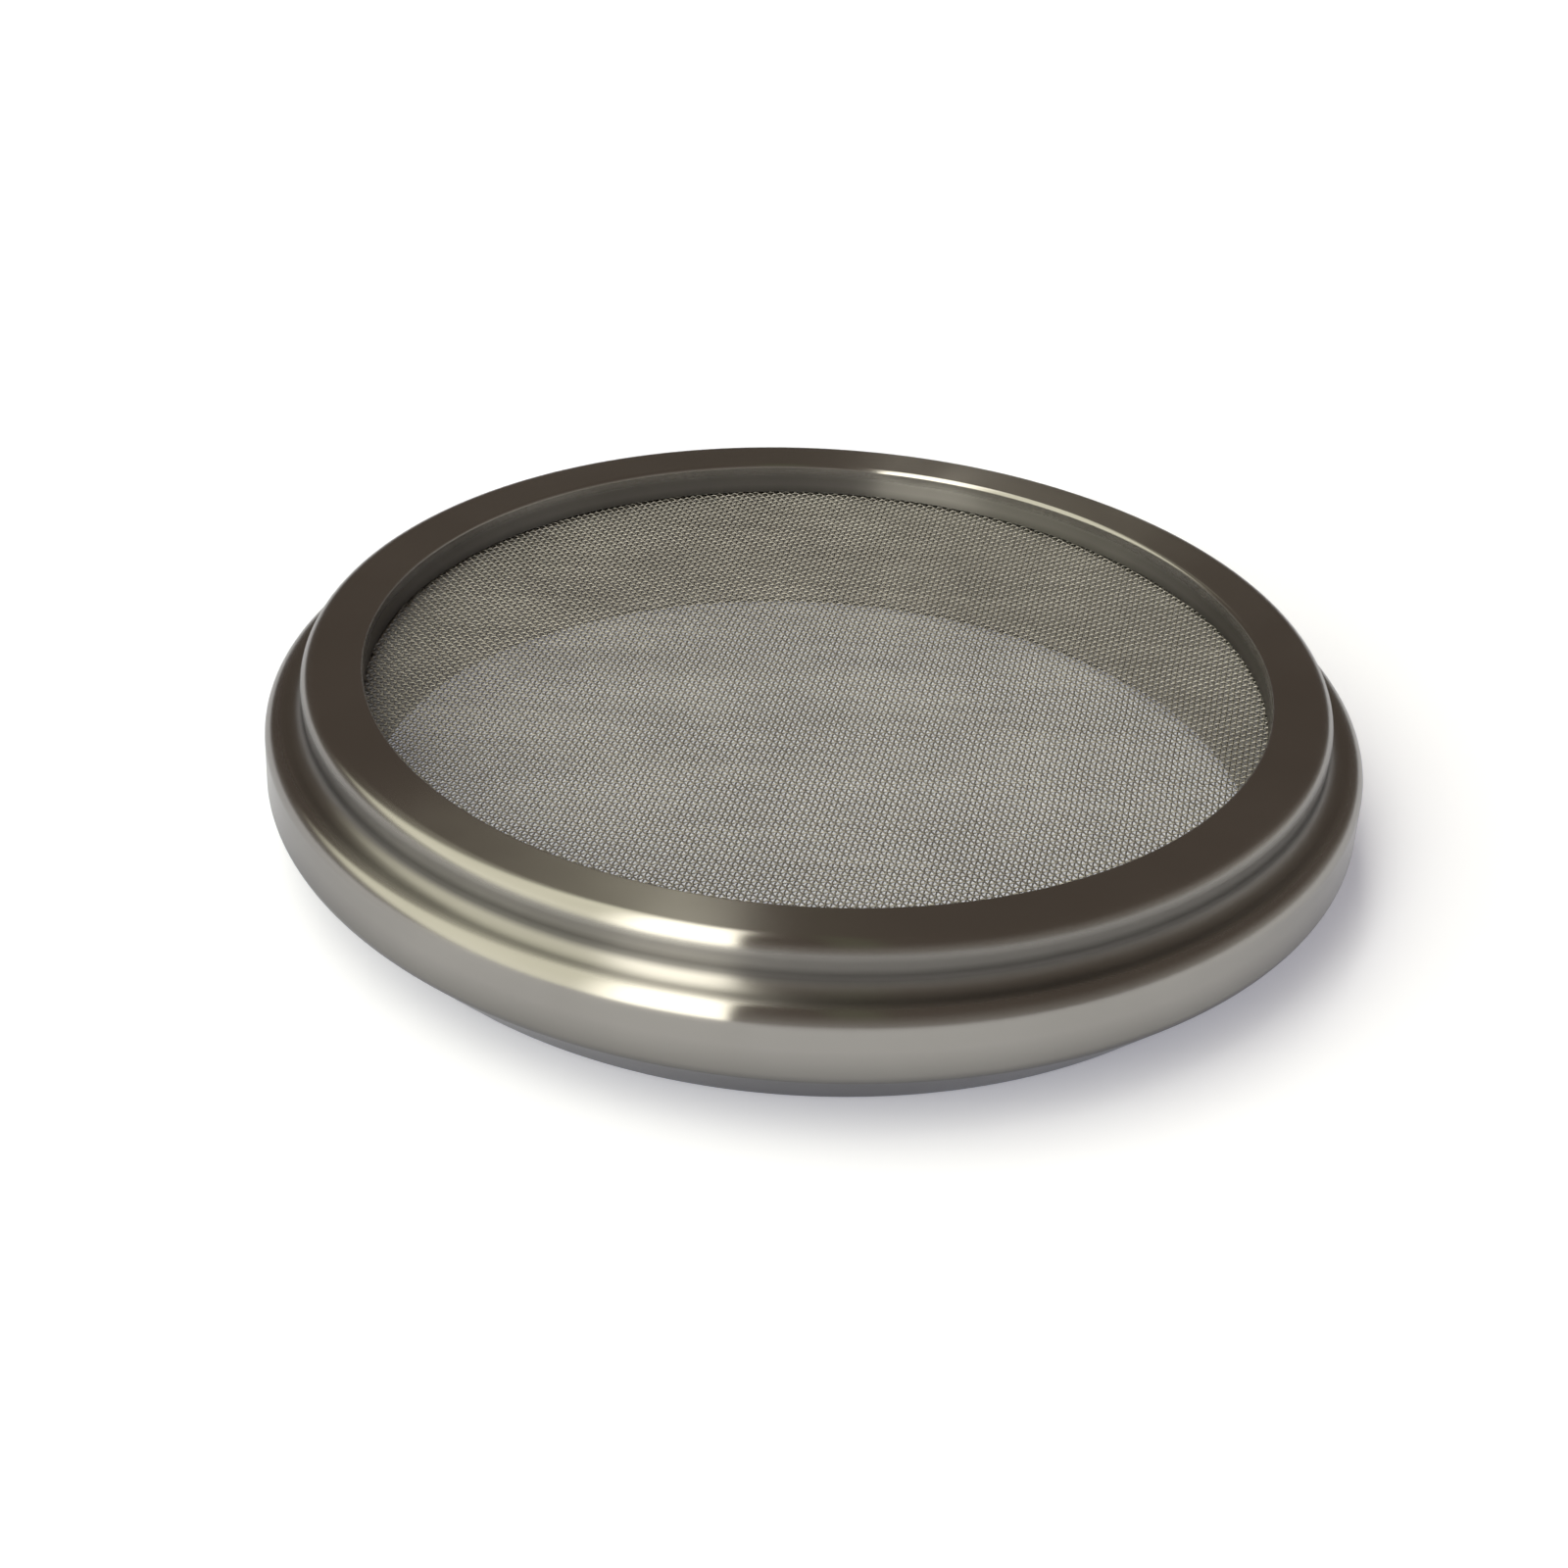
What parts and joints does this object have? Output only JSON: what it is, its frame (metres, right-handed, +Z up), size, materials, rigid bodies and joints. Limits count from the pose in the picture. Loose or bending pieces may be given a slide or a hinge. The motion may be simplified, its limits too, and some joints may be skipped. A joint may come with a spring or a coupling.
{
  "type": "sieve",
  "caption": "Heavy turned ring sieve with a flange, a raised lip and a flat woven wire screen clamped under its rim.",
  "frame": {"origin": "centre of the base, in the plane that the ring stands on", "axes": "+Z up along the ring's axis, out through the lip; X and Y lie in the base plane"},
  "size_m": [0.1, 0.1, 0.0167],
  "materials": {
    "turned_steel": "lathe-turned stainless steel with fine rings about the axis, satin to bright",
    "sleeve_steel": "finely turned stainless steel, a little darker inside the bore",
    "screen_wire": "drawn stainless wire in a plain weave, satin"
  },
  "bodies": {
    "root": {"body_ring": "turned_steel", "clamp_ring": "sleeve_steel", "warp_wires": "screen_wire", "weft_wires": "screen_wire"}
  },
  "joints": []
}
